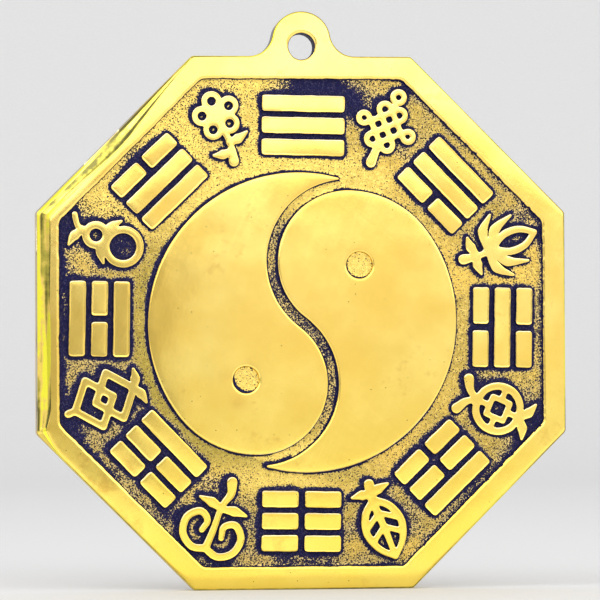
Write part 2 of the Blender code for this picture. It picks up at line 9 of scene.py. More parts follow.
import bpy
import numpy as np
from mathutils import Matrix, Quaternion, Vector, kdtree, noise
from mathutils.geometry import delaunay_2d_cdt


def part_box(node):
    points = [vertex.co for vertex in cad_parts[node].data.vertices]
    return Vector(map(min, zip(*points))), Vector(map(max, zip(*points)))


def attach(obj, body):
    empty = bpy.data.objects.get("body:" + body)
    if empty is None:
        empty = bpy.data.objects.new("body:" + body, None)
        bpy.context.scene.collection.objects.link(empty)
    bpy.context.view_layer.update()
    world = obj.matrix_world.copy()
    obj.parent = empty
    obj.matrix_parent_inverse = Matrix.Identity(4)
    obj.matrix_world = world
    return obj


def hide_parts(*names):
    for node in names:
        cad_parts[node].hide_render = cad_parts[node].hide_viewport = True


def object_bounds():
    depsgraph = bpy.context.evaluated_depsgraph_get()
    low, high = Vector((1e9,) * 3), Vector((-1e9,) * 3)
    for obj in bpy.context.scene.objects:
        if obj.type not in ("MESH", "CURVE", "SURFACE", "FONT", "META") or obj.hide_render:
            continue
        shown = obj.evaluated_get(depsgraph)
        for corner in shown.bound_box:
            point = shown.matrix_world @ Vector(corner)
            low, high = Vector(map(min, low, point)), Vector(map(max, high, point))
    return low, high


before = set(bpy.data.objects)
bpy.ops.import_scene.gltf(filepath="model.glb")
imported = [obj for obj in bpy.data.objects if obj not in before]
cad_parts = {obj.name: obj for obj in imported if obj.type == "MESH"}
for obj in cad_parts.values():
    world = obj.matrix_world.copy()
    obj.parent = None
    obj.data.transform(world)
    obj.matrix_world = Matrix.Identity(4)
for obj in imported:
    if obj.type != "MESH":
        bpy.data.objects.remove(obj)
cad_low, cad_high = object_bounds()

# Levels and middles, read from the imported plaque
SEAT_GAP = 0.0003
PLATE_EDGE_ROUND = 0.0006
plate_low, plate_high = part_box("cast_plate")
FACE = -plate_low.y
FIELD = -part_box("yin_yang_left_half")[1].y - SEAT_GAP
APOTHEM = plate_high.x
MIDDLE = np.array((0, plate_low.z + APOTHEM))
LEVEL_TOLERANCE = 0.000002
SAME_PLACE_DIGITS = 6
MERGE_DISTANCE = 1e-9
LEAST_FACE = 1e-10


# Outlines


def outlines(node, at_front):
    """The edges of a solid's front or back face as loops, the outer one first."""
    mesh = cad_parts[node].data
    low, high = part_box(node)
    level = low.y if at_front else high.y
    edges = set()
    for polygon in mesh.polygons:
        spots = [mesh.vertices[i].co for i in polygon.vertices]
        if all(abs(spot.y - level) < LEVEL_TOLERANCE for spot in spots):
            keys = [(round(s.x, SAME_PLACE_DIGITS), round(s.z, SAME_PLACE_DIGITS)) for s in spots]
            edges.update(zip(keys, keys[1:] + keys[:1]))
    ahead = {a: b for a, b in edges if (b, a) not in edges}
    loops = []
    while ahead:
        start = min(ahead)
        loop, spot = [start], ahead.pop(start)
        while spot != start:
            loop.append(spot)
            spot = ahead.pop(spot)
        loops.append(np.array(loop if at_front else loop[::-1]))
    return sorted(loops, key=lambda loop: -abs(area(loop)))


def area(loop):
    ahead = np.roll(loop, -1, 0)
    return (loop[:, 0] * ahead[:, 1] - loop[:, 1] * ahead[:, 0]).sum() / 2


def lengths(vectors):
    return np.sqrt((vectors**2).sum(1))


def inward(loop):
    """Unit vectors from a loop towards its brass."""
    along = np.roll(loop, -1, 0) - np.roll(loop, 1, 0)
    along /= lengths(along)[:, None]
    return np.column_stack((-along[:, 1], along[:, 0]))


LONG_EDGE = 3.0  # times its neighbour, from where an edge counts as straight
FEWEST_POINTS = 12
SOFTENING_TAIL = 3  # reaches, beyond which a corner is left alone
SWAY_LENGTH, FINE_SWAY_LENGTH, FINE_SWAY = 0.0042, 0.0013, 0.55
ROW_CLEARANCE = 0.92  # of a row's step, for its points to stay clear of other loops
FOLLOWING = (0.0003, 0.00065)


def with_straight_ends(loop):
    """More points beside the ends of each straight edge, so that a curve through them keeps it."""
    count = len(loop)
    edges = lengths(np.roll(loop, -1, 0) - loop)
    points = []
    for i, point in enumerate(loop):
        points.append(point)
        edge, before, after = edges[i], edges[i - 1], edges[(i + 1) % count]
        along = (loop[(i + 1) % count] - point) / edge
        if edge > LONG_EDGE * before:
            points.append(point + along * before)
        if edge > LONG_EDGE * after:
            points.append(loop[(i + 1) % count] - along * after)
    return np.array(points)


def curved(loop, steps=8):
    """A smooth closed curve through a loop's points that doesn't swing out beside short edges."""
    loop = with_straight_ends(loop)
    a, b, c, d = (np.roll(loop, shift, 0) for shift in (1, 0, -1, -2))
    first, second, third = (np.sqrt(lengths(q - p))[:, None] for p, q in ((a, b), (b, c), (c, d)))
    leaving = (b - a) / first - (c - a) / (first + second) + (c - b) / second
    arriving = (c - b) / second - (d - b) / (second + third) + (d - c) / third
    leaving, arriving = leaving * second, arriving * second
    made = []
    for t in np.arange(steps) / steps:
        made.append(
            (2 * t**3 - 3 * t**2 + 1) * b
            + (t**3 - 2 * t**2 + t) * leaving
            + (3 * t**2 - 2 * t**3) * c
            + (t**3 - t**2) * arriving
        )
    return np.stack(made, 1).reshape(-1, 2)


def evenly(loop, spacing):
    """The loop with points at even spaces."""
    closed = np.vstack((loop, loop[:1]))
    along = np.concatenate(([0], np.cumsum(lengths(np.diff(closed, axis=0)))))
    count = max(FEWEST_POINTS, round(along[-1] / spacing))
    at = np.arange(count) * along[-1] / count
    return np.column_stack([np.interp(at, along, closed[:, axis]) for axis in (0, 1)])


def softened(loop, reach, spacing):
    """An even loop with its corners rounded off over this reach."""
    half = math.ceil(SOFTENING_TAIL * reach / spacing)
    weights = np.exp(-0.5 * (np.arange(-half, half + 1) * spacing / reach) ** 2)
    weights /= weights.sum()
    return sum(w * np.roll(loop, k - half, 0) for k, w in enumerate(weights))


def swell(points, wavelength, seed=0.0):
    """Smooth unevenness from about -1 to 1, with humps about this far apart."""
    return np.array([noise.noise((x / wavelength, z / wavelength, seed)) for x, z in points])


def hand_cast(loop, spacing, round_reach, sway, seed):
    """An outline as casting and filing leave it: round corners, and sides that sway a little."""
    loop = softened(evenly(curved(loop), spacing), round_reach, spacing)
    sways = swell(loop, SWAY_LENGTH, seed) + FINE_SWAY * swell(loop, FINE_SWAY_LENGTH, seed)
    return loop + inward(loop) * (sway * sways)[:, None]


def inside(points, loops):
    """Which points lie inside the loops, with holes left out."""
    hits = np.zeros(len(points), int)
    for loop in loops:
        ahead = np.roll(loop, -1, 0)
        for (x0, z0), (x1, z1) in zip(loop, ahead):
            if z0 != z1:
                crosses = (points[:, 1] >= min(z0, z1)) & (points[:, 1] < max(z0, z1))
                reach = x0 + (points[:, 1] - z0) / (z1 - z0) * (x1 - x0)
                hits += crosses & (points[:, 0] < reach)
    return hits % 2 == 1


def nearest(points, targets):
    """Distance to the nearest target point, and which one it is."""
    tree = kdtree.KDTree(len(targets))
    for i, (x, z) in enumerate(targets):
        tree.insert((x, z, 0), i)
    tree.balance()
    found = [tree.find((x, z, 0)) for x, z in points]
    return np.array([f[2] for f in found]), np.array([f[1] for f in found])


def scattered(loops, spacing, seed, following=FOLLOWING, spread=0.32):
    """Points within some loops at about this spacing, each a little off its place, with rows that
    follow the loops first. How far each point lies from the loops comes back too."""
    border = np.vstack(loops)
    rows = []
    for step in following:
        row = np.vstack([loop + inward(loop) * step for loop in loops])
        rows.append(row[nearest(row, border)[0] > ROW_CLEARANCE * step])
    low, high = border.min(0), border.max(0)
    x, z = np.meshgrid(np.arange(low[0], high[0], spacing), np.arange(low[1], high[1], spacing))
    loose = np.column_stack((x.ravel(), z.ravel()))
    draw = np.random.default_rng(seed)
    loose += draw.uniform(-spread, spread, loose.shape) * spacing
    loose = loose[inside(loose, loops)]
    margin = max(following, default=0.0) + spacing / 3
    points = np.vstack(rows + [loose[nearest(loose, border)[0] > margin]])
    points = points[inside(points, loops)]
    return points, nearest(points, border)[0]


def smooth_step(low, high, values):
    t = np.clip((values - low) / (high - low), 0, 1)
    return t * t * (3 - 2 * t)


# Meshes


class Casting:
    """Gathers the points and faces of one piece, with marks such as its patina at each point."""

    def __init__(self, marks):
        self.places, self.faces, self.slots = [], [], []
        self.marks = {name: [] for name in marks}

    def add_points(self, points, depths, **marks):
        first = sum(map(len, self.places))
        depths = np.broadcast_to(depths, len(points))
        self.places.append(np.column_stack((points[:, 0], -depths, points[:, 1])))
        for name, gathered in self.marks.items():
            gathered.append(np.broadcast_to(marks.get(name, 0.0), len(points)))
        return np.arange(first, first + len(points))

    def add_faces(self, faces, slot=0):
        self.faces += [tuple(int(i) for i in face) for face in faces]
        self.slots += [slot] * len(faces)

    def add_wall(self, lower, upper, slot=0):
        ahead_low, ahead_up = np.roll(lower, -1), np.roll(upper, -1)
        self.add_faces(np.column_stack((lower, ahead_low, ahead_up, upper)), slot)

    def add_rings(self, loop, profile, offsets=None, slot=0):
        """Walls along a loop. Each ring of the profile gives how far in it lies, its depth and its
        marks. The first and last ring come back."""
        offsets = inward(loop) if offsets is None else offsets
        rings = [
            self.add_points(loop + offsets * np.reshape(inset, (-1, 1)), depth, **marks)
            for inset, depth, marks in profile
        ]
        for lower, upper in zip(rings, rings[1:]):
            self.add_wall(lower, upper, slot)
        return rings[0], rings[-1]

    def at(self, indices):
        return np.vstack(self.places)[indices][:, (0, 2)]

    def add_cap(self, rings, inner=(), depths=0.0, facing_front=True, slot=0, **marks):
        """A face over some rings of points that are there already, with these points inside it."""
        loops = [self.at(ring) for ring in rings]
        border, ids = np.vstack(loops), np.concatenate(rings)
        edges, first = [], 0
        for loop in loops:
            around = np.arange(first, first + len(loop))
            edges += list(zip(around.tolist(), np.roll(around, -1).tolist()))
            first += len(loop)
        if len(inner):
            ids = np.concatenate((ids, self.add_points(inner, depths, **marks)))
            border = np.vstack((border, inner))
        spots = [Vector(p) for p in border.tolist()]
        _, _, faces, came_from, _, _ = delaunay_2d_cdt(spots, edges, [], 0, MERGE_DISTANCE)
        source = np.array([found[0] for found in came_from])
        faces = source[np.array(faces)]
        corners = border[faces]
        sizes = np.array([abs(area(corner)) for corner in corners])
        faces = faces[inside(corners.mean(1), loops) & (sizes > LEAST_FACE)]
        self.add_faces(ids[faces if facing_front else faces[:, ::-1]], slot)

    def build(self, name, finishes, replaces=()):
        mesh = bpy.data.meshes.new(name)
        mesh.from_pydata(np.vstack(self.places).tolist(), [], self.faces)
        for finish in finishes:
            mesh.materials.append(finish)
        mesh.polygons.foreach_set("material_index", self.slots)
        for mark, values in self.marks.items():
            attribute = mesh.attributes.new(mark, "FLOAT", "POINT")
            attribute.data.foreach_set("value", np.concatenate(values).astype(np.float32))
        mesh.shade_smooth()
        piece = bpy.data.objects.new(name, mesh)
        bpy.context.scene.collection.objects.link(piece)
        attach(piece, "root")
        if replaces:
            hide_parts(*replaces)
        return piece


# Finishes


class Wire:
    """A value that runs through a finish. Sums and products of wires add the nodes for them."""

    def __init__(self, finish, socket):
        self.finish, self.socket = finish, socket

    def maths(self, operation, *values):
        settings = {"operation": operation}
        return self.finish.node("ShaderNodeMath", settings, dict(enumerate(values)))

    def __add__(self, other):
        return self.maths("ADD", self, other)

    def __sub__(self, other):
        return self.maths("SUBTRACT", self, other)

    def __rsub__(self, other):
        return self.maths("SUBTRACT", other, self)

    def __mul__(self, other):
        return self.maths("MULTIPLY", self, other)

    __radd__ = __add__
    __rmul__ = __mul__

    def rising(self, low, high):
        """From 0 to 1 as this value goes from low to high, smoothly."""
        return self.finish.node(
            "ShaderNodeMapRange",
            {"interpolation_type": "SMOOTHSTEP"},
            {"Value": self, "From Min": low, "From Max": high},
        )


SPOT_CORE, SPOT_RIM = 0.6, 1.3  # of a spot's reach, between which it fades out
PICK_STEP = 0.02


class Finish:
    """A material's nodes, which grow from the plaque's own coordinates in metres."""

    def __init__(self, name):
        self.material = bpy.data.materials.new(name)
        self.material.use_nodes = True
        self.tree = self.material.node_tree
        self.tree.nodes.clear()
        self.place = self.node("ShaderNodeTexCoord", output="Object")

    def node(self, kind, settings=None, sockets=None, output=0):
        made = self.tree.nodes.new(kind)
        for name, value in (settings or {}).items():
            setattr(made, name, value)
        for name, value in (sockets or {}).items():
            if isinstance(value, Wire):
                self.tree.links.new(value.socket, made.inputs[name])
            else:
                made.inputs[name].default_value = value
        return Wire(self, made.outputs[output]) if made.outputs else None

    def mark(self, name):
        return self.node("ShaderNodeAttribute", {"attribute_name": name}, output="Fac")

    def height(self):
        return self.node("ShaderNodeSeparateXYZ", {}, {0: self.place}, output="Z")

    def grain(self, size, detail=2.0, rough=0.5, stretch=(1, 1, 1), turn=0.0):
        """Noise from about 0 to 1 with lumps of this size, drawn out where a stretch is over 1."""
        place = self.place
        if turn or stretch != (1, 1, 1):
            place = self.node(
                "ShaderNodeMapping",
                {"vector_type": "TEXTURE"},
                {"Vector": place, "Rotation": (0, math.radians(turn), 0), "Scale": stretch},
            )
        sockets = {"Vector": place, "Scale": 1 / size, "Detail": detail, "Roughness": rough}
        return self.node("ShaderNodeTexNoise", {}, sockets, output="Fac")

    def specks(self, size, spacing, chance):
        """Small round spots of this size, in a few of the cells that lie this far apart."""
        cells = {"Vector": self.place, "Scale": 1 / spacing}
        distance = self.node("ShaderNodeTexVoronoi", {}, cells, output="Distance")
        colour = self.node("ShaderNodeTexVoronoi", {}, cells, output="Color")
        pick = self.node("ShaderNodeSeparateColor", {}, {"Color": colour})
        reach = size / spacing / 2
        spot = 1 - distance.rising(reach * SPOT_CORE, reach * SPOT_RIM)
        return spot * (1 - pick.rising(chance, chance + PICK_STEP))

    def blend(self, factor, first, second):
        """A colour between two, each a wire or three numbers."""
        first, second = (c if isinstance(c, Wire) else (*c, 1) for c in (first, second))
        return self.node(
            "ShaderNodeMix", {"data_type": "RGBA"}, {0: factor, 6: first, 7: second}, output=2
        )

    def bumped(self, height, depth, strength=1.0, under=None):
        """The normal of a surface with this relief, its depth in metres, over another one."""
        sockets = {"Height": height, "Distance": depth, "Strength": strength}
        if under:
            sockets["Normal"] = under
        return self.node("ShaderNodeBump", {}, sockets)

    def shaded(self, **sockets):
        """Ends the finish in one metal or paint shader and returns the material."""
        named = {name.replace("_", " ").title(): value for name, value in sockets.items()}
        named["Specular IOR Level"] = named.pop("Specular", 0.5)
        surface = self.node("ShaderNodeBsdfPrincipled", {}, named)
        self.node("ShaderNodeOutputMaterial", {}, {"Surface": surface})
        return self.material


# Colours of the finishes
BRIGHT_BRASS = (0.98, 0.775, 0.235)
BRASS = (0.93, 0.665, 0.150)
WARM_BRASS = (0.85, 0.555, 0.105)
TARNISH = (0.66, 0.350, 0.055)
OLIVE_BRASS = (0.50, 0.430, 0.070)
PATINA = (0.0075, 0.0070, 0.048)
WORN_PATINA = (0.070, 0.060, 0.120)
SPECK = (0.10, 0.055, 0.020)
TAN_GRAIN = (0.74, 0.590, 0.290)
YELLOW_BRASS = (0.97, 0.900, 0.065)
DEEP_OLIVE = (0.15, 0.135, 0.040)
PALE_WALL = (0.86, 0.650, 0.210)
DULL_WALL = (0.60, 0.430, 0.115)
LOW_REFLECTION_BRASS = (0.97, 0.720, 0.070)
PAINTED_GLINT_BRASS = (0.98, 0.900, 0.720)
PAINTED_RIDGE_HIGHLIGHT = (0.46, 0.450, 0.430)
BROWN_PATINA = (0.026, 0.019, 0.016)
DULL_BRASS = (0.36, 0.245, 0.085)
PALE_CAST_BRASS = (0.62, 0.455, 0.175)
BROWN_STAIN = (0.17, 0.100, 0.040)
FIELD_BRASS = (0.77, 0.560, 0.150)
RUBBED_AND_PAINTED_LIGHT_BRASS = (0.99, 0.730, 0.170)
DIM_FIELD_BRASS = (0.34, 0.232, 0.046)
LEFT_SHADE_FIELD_BRASS = (0.43, 0.340, 0.072)
LEFT_SHADE_DIM_BRASS = (0.25, 0.190, 0.036)

# Sizes of the grains, specks and hairs of the polished faces, and their depths
CLOUD_SIZE, MOTTLE_SIZE, STAIN_SIZE, FINE_SIZE = 0.034, 0.011, 0.006, 0.0011
RAGGED_SIZE, WEAR_SIZE = 0.00042, 0.0005
SPECK_SIZE, SPECK_SPACING, SPECK_CHANCE = 0.00032, 0.0021, 0.22
HAIRS = ((0.00011, 90, 24), (0.00010, 70, -52))  # width, times drawn out, turn in degrees
HAIR_DEPTH, FINE_DEPTH = 0.0000012, 0.0000035
# Heights between which the polished faces turn yellower towards the bottom: a painted reflection
LOW_REFLECTION_BELOW, LOW_REFLECTION_UP_TO = -0.150, -0.070
EVEN_SHARE, LOW_REFLECTION_SHARE, PAINTED_GLINT_SHARE, SPECK_SHARE, WEAR_SHARE = 0.45, 0.55, 0.55, 0.8, 0.6
POLISHED_ROUGHNESS, PATINA_ROUGHNESS = 0.10, 0.55


def polished_brass(name, tarnish):
    """Hand-polished brass whose recessed walls keep their patina, with a ragged line between. Marked
    edges get a painted glint, and the faces turn yellower towards the bottom as a painted reflection.
    """
    finish = Finish(name)
    cloud = finish.grain(CLOUD_SIZE)
    mottle = finish.grain(MOTTLE_SIZE, 3.0, 0.6)
    fine = finish.grain(FINE_SIZE)
    tone = (cloud * 0.65 + mottle * 0.35).rising(0.34, 0.66)
    colour = finish.blend(tone, WARM_BRASS, BRIGHT_BRASS)
    colour = finish.blend(EVEN_SHARE, colour, BRASS)
    # Painted reflection: the faces turn yellower towards the plaque's bottom
    painted_low_reflection = 1 - finish.height().rising(LOW_REFLECTION_BELOW, LOW_REFLECTION_UP_TO)
    colour = finish.blend(painted_low_reflection * LOW_REFLECTION_SHARE, colour, LOW_REFLECTION_BRASS)
    stain = (cloud * 0.5 + finish.grain(STAIN_SIZE, 4.0, 0.65) * 0.5).rising(0.56, 0.70)
    colour = finish.blend(stain * tarnish, colour, TARNISH)
    blotch = finish.mark("stain") * mottle.rising(0.30, 0.62)
    colour = finish.blend(blotch, colour, TARNISH)
    # Painted glint: a pale base colour on the edges marked for it, so that they light up as highlights
    worn = (finish.mark("worn") + (fine - 0.5) * 0.8).rising(0.30, 0.62)
    colour = finish.blend(worn * PAINTED_GLINT_SHARE, colour, PAINTED_GLINT_BRASS)
    specks = finish.specks(SPECK_SIZE, SPECK_SPACING, SPECK_CHANCE)
    colour = finish.blend(specks * SPECK_SHARE, colour, SPECK)
    ragged = finish.grain(RAGGED_SIZE, 1.0)
    dark = (finish.mark("patina") + (ragged - 0.5) * 0.9).rising(0.44, 0.56)
    wear = finish.grain(WEAR_SIZE).rising(0.52, 0.68)
    colour = finish.blend(dark, colour, finish.blend(wear * WEAR_SHARE, PATINA, WORN_PATINA))
    rising_hairs, falling_hairs = (
        finish.grain(width, 1.0, 0.5, (1, 1, length), turn) for width, length, turn in HAIRS
    )
    hairs = rising_hairs + falling_hairs
    lift = finish.bumped(hairs, HAIR_DEPTH, 0.6)
    lift = finish.bumped(fine, FINE_DEPTH, 0.7, lift)
    gloss = POLISHED_ROUGHNESS + (mottle - 0.5) * 0.10 + (hairs - 1) * 0.08 + worn * 0.25
    return finish.shaded(
        base_color=colour,
        metallic=1 - dark,
        roughness=gloss * (1 - dark) + dark * PATINA_ROUGHNESS,
        normal=lift,
        specular=0.08,
    )


# The same for the pebbled ground
GRAIN_SIZE, CLUMP_SIZE, DRIFT_SIZE, GRAIN_WEAR_SIZE = 0.00044, 0.0009, 0.019, 0.00034
GRAIN_CONTRAST, CLUMP_CONTRAST, PEBBLE_CONTRAST = 3.7, 0.8, 0.14
PIT_SIZE, PIT_SPACING, PIT_CHANCE = 0.00042, 0.0010, 0.34
GRAIN_DEPTH, CLUMP_DEPTH = 0.00005, 0.00009
FIELD_MARKS = ("patina", "pebble", "painted_left_shade", "rubbed_and_painted_light")


def pebbled_brass(name):
    """Rough cast ground: gold grains, with patina left in the pits and along the relief. Painted shade
    darkens the left side; the eyes are polished paler, and painted light brightens the top side and a
    place low down.
    """
    finish = Finish(name)
    grain = finish.grain(GRAIN_SIZE, 2.0, 0.70)
    clump = finish.grain(CLUMP_SIZE, 2.0, 0.55)
    patina, pebble, painted_left_shade, rubbed_and_painted_light = (finish.mark(mark) for mark in FIELD_MARKS)
    uneven = (grain - 0.5) * GRAIN_CONTRAST + (clump - 0.5) * CLUMP_CONTRAST
    uneven = uneven - pebble * PEBBLE_CONTRAST
    dark = (patina + uneven * (1.25 - patina)).rising(0.48, 0.56)
    sheen = (grain * 0.6 + clump * 0.4).rising(0.38, 0.62)
    colour = finish.blend(sheen, DIM_FIELD_BRASS, FIELD_BRASS)
    colour = finish.blend(finish.grain(DRIFT_SIZE).rising(0.42, 0.72) * 0.5, colour, WARM_BRASS)
    # Painted shade: the left of the inner field is darker and greener
    colour = finish.blend(painted_left_shade, colour, finish.blend(sheen, LEFT_SHADE_DIM_BRASS, LEFT_SHADE_FIELD_BRASS))
    colour = finish.blend(patina.rising(0.30, 0.75) * 0.6, colour, TAN_GRAIN)
    # Paler gold in the eyes, which are polished, and painted light on the field's top side and below
    # the figure
    colour = finish.blend(rubbed_and_painted_light * (0.55 + sheen * 0.45), colour, RUBBED_AND_PAINTED_LIGHT_BRASS)
    wear = finish.grain(GRAIN_WEAR_SIZE, 2.0, 0.6).rising(0.50, 0.70)
    deep = finish.blend(patina.rising(0.45, 0.85), BROWN_PATINA, PATINA)
    colour = finish.blend(dark, colour, finish.blend(wear * 0.8, deep, WORN_PATINA))
    pits = finish.specks(PIT_SIZE, PIT_SPACING, PIT_CHANCE)
    colour = finish.blend(pits * 0.9, colour, BROWN_PATINA)
    lift = finish.bumped(grain, GRAIN_DEPTH, 0.8)
    lift = finish.bumped(clump, CLUMP_DEPTH, 0.5, lift)
    return finish.shaded(
        base_color=colour,
        metallic=1 - dark,
        roughness=0.34 + dark * 0.25,
        normal=lift,
        specular=0.10,
    )


# The same for the ground edge and its walls
STREAK_GRAIN_SIZE = 0.0030
FILE_MARK_SIZE, FILE_MARK_STRETCH = 0.00025, 30
NICK_SIZE, NICK_SPACING, NICK_CHANCE = 0.00040, 0.0026, 0.25
BUFFING_SIZE, BUFFING_DEPTH = 0.00016, 0.000003
RIDGE_SHARE = 0.85


def ground_brass(name):
    """Brass filed and buffed along its edge, with long streaks from dark green-brown to yellow that are
    partly filing and partly painted reflection, over a dull wall. A pale line along the ridge is a
    painted highlight.
    """
    finish = Finish(name)
    # The streaks are partly painted reflection: dark and bright yellow bands along the bevel
    streak = finish.mark("streak") + (finish.grain(STREAK_GRAIN_SIZE, 3.0, 0.6) - 0.5) * 0.5
    colour = finish.blend(streak.rising(0.22, 0.42), DEEP_OLIVE, OLIVE_BRASS)
    colour = finish.blend(streak.rising(0.40, 0.54), colour, BRASS)
    colour = finish.blend(streak.rising(0.56, 0.70), colour, YELLOW_BRASS)
    on_wall = finish.mark("wall").rising(0.25, 0.75)
    file_marks = finish.grain(FILE_MARK_SIZE, 2.0, 0.6, (1, FILE_MARK_STRETCH, 1))
    pale = streak.rising(0.15, 0.85) * 0.45 + file_marks.rising(0.35, 0.65) * 0.45
    wall = finish.blend(pale, DULL_WALL, PALE_WALL)
    wall = finish.blend(finish.mark("patina"), wall, PATINA)
    colour = finish.blend(on_wall, colour, wall)
    # Painted highlight: a pale grey line along the ridge of the broad bevel
    ridge = finish.mark("ridge").rising(0.42, 0.80)
    colour = finish.blend(ridge * RIDGE_SHARE, colour, PAINTED_RIDGE_HIGHLIGHT)
    nicks = finish.specks(NICK_SIZE, NICK_SPACING, NICK_CHANCE)
    colour = finish.blend(nicks * SPECK_SHARE, colour, SPECK)
    buffing = finish.grain(BUFFING_SIZE)
    return finish.shaded(
        base_color=colour,
        metallic=1.0,
        roughness=0.13 + (buffing - 0.5) * 0.2 + on_wall * 0.17,
        normal=finish.bumped(buffing, BUFFING_DEPTH, 0.7),
        specular=0.25,
    )


# The same for the back
SAND_SIZE, BACK_STAIN_SIZE, DENT_SIZE = 0.00045, 0.034, 0.0022
RUB_SIZE, RUB_STRETCH, RUB_TURN = 0.0005, 40, 12
SAND_DEPTH, DENT_DEPTH = 0.00006, 0.00010


def cast_brass(name):
    """The unpolished back: sand-cast brass, dulled and stained brown."""
    finish = Finish(name)
    sand = finish.grain(SAND_SIZE, 3.0, 0.65)
    stain = finish.grain(BACK_STAIN_SIZE, 6.0, 0.68)
    colour = finish.blend(sand.rising(0.35, 0.65), DULL_BRASS, PALE_CAST_BRASS)
    colour = finish.blend(stain.rising(0.38, 0.72) * 0.55, colour, BROWN_STAIN)
    rubs = finish.grain(RUB_SIZE, 2.0, 0.5, (1, 1, RUB_STRETCH), RUB_TURN).rising(0.58, 0.72)
    colour = finish.blend(rubs * 0.5, colour, PALE_CAST_BRASS)
    lift = finish.bumped(sand, SAND_DEPTH, 0.8)
    lift = finish.bumped(finish.grain(DENT_SIZE), DENT_DEPTH, 0.5, lift)
    return finish.shaded(
        base_color=colour,
        metallic=1 - stain.rising(0.5, 0.8) * 0.5,
        roughness=0.42 + sand * 0.15,
        normal=lift,
        specular=0.25,
    )


TOOTH_SIZE, TOOTH_DEPTH = 0.0018, 0.00006
TOOTH_DARK, TOOTH_LIGHT = 0.99, 1.01


def studio_paper(name, tone):
    """Plain paper of this tone, with a faint tooth."""
    finish = Finish(name)
    tooth = finish.grain(TOOTH_SIZE)
    dark, light = ((tone * part,) * 3 for part in (TOOTH_DARK, TOOTH_LIGHT))
    return finish.shaded(
        base_color=finish.blend(tooth.rising(0.3, 0.7), dark, light),
        roughness=0.75,
        normal=finish.bumped(tooth, TOOTH_DEPTH, 0.25),
        specular=0.3,
    )


# Polished level of the plaque, and the relief that reaches it

WAVE_DEPTH, WAVE_LENGTH, WAVE_SEED = 0.00006, 0.030, 3.1
RIPPLE_DEPTH, RIPPLE_LENGTH, RIPPLE_SEED = 0.000014, 0.008, 7.7
PILLOW_DEPTH, PILLOW_REACH = 0.00003, 0.0005


def polished_depths(points, gap):
    """Depths of a face that was polished by hand, so that it waves and falls off at its edges."""
    wave = WAVE_DEPTH * (1 + swell(points, WAVE_LENGTH, WAVE_SEED))
    ripple = RIPPLE_DEPTH * (1 + swell(points, RIPPLE_LENGTH, RIPPLE_SEED))
    return FACE - wave - ripple - PILLOW_DEPTH * np.exp(-gap / PILLOW_REACH)


# Directions in the plaque's plane
UPWARDS = np.array((-0.35, 0.94))
LOWER_RIGHT = np.array((0.5, -0.87))
UPPER_LEFT = np.array((-0.7, 0.7))
LOWER_LEFT = np.array((-0.6, -0.8))
LEFT_SHADE_SIDE = np.array((-0.80, -0.60))
BRIGHT_INNER_SIDE = np.array((-0.17, 0.985))
BRIGHT_OUTER_SIDE = np.array((-0.57, 0.82))

# Walls of the relief, from the foot up
FOOT_SPREAD = 0.8
FOOT_SINK = 0.00015
EDGE_ROUND = 0.00028
LEAN_REACH = 0.012
LOWER_FOOT, UPPER_FOOT = 0.0003, 0.0009

# Where an edge rounds over: how much of the rounding, how far below the face, patina, and share of the
# painted glint
EDGE_STEPS = ((0.0, 0.00036, 0.80, 0.0), (0.22, 0.00022, 0.55, 0.7), (0.55, 0.00014, 0.26, 1.0))
TOP_PATINA, TOP_GLINT = 0.10, 0.6

# Tarnish round the left eye: its place from the eye's middle, and its reach
EYE_STAINS = (
    ((-0.0052, 0.0006), 0.0026),
    ((-0.0028, -0.0062), 0.0030),
    ((0.0018, 0.0052), 0.0018),
)

# How each kind of relief is cast: spacing of its points, rounding of its corners, sway and draft
HALF_CAST = (0.00035, 0.00030, 0.00004, 0.00015)
ORNAMENT_CAST = (0.00022, 0.00022, 0.00005, 0.0)
BAR_CAST = (0.00030, 0.00034, 0.00010, 0.00015)


